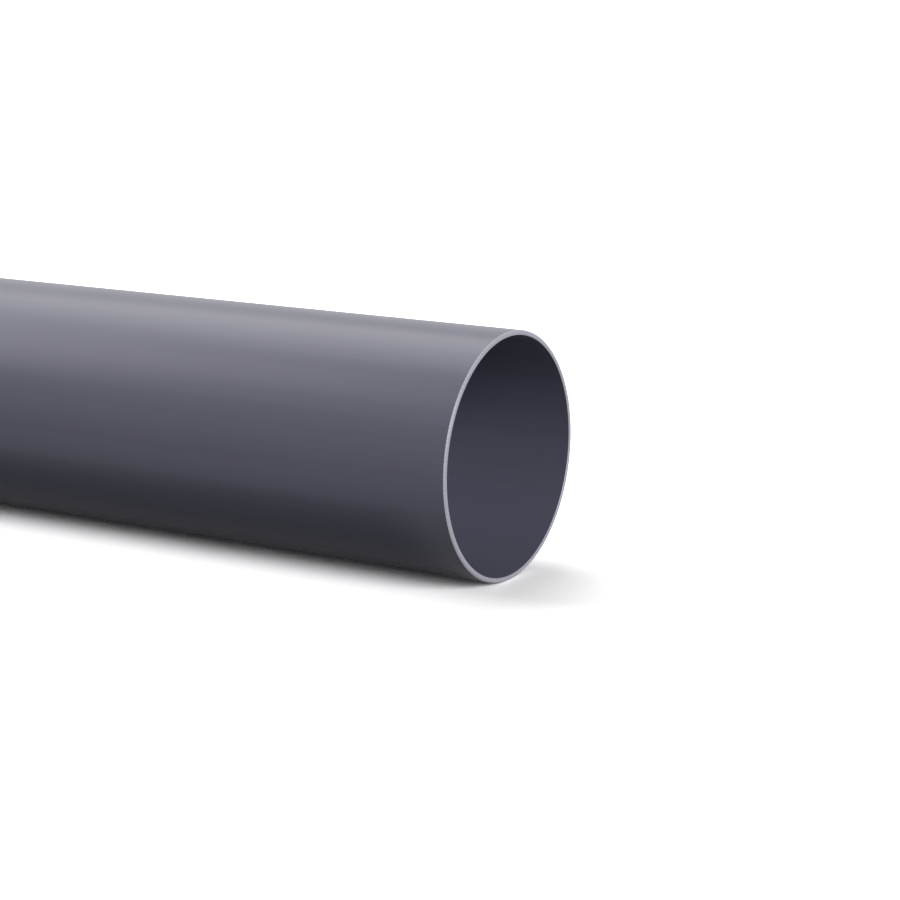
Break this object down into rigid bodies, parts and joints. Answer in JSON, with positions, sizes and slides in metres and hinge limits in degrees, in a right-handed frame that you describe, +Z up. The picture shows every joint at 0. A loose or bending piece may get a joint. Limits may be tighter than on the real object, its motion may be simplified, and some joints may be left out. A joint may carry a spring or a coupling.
{
  "type": "pvc pipe",
  "caption": "Straight, thin-walled, dark grey PVC pipe, open right through and sawn square at both ends, for drains, ducts and low-pressure water.",
  "frame": {"origin": "point on the floor under the middle of the pipe as it lies; the pipe's own axis is one outside radius, 55 mm, above it", "axes": "+X along the pipe's axis towards the cut end that the picture shows, +Z up, +Y across the pipe; the pipe is the same all round its axis and at both ends"},
  "size_m": [1, 0.11, 0.11],
  "materials": {
    "pvc": "satin"
  },
  "bodies": {
    "root": {"pipe": "pvc"}
  },
  "joints": []
}
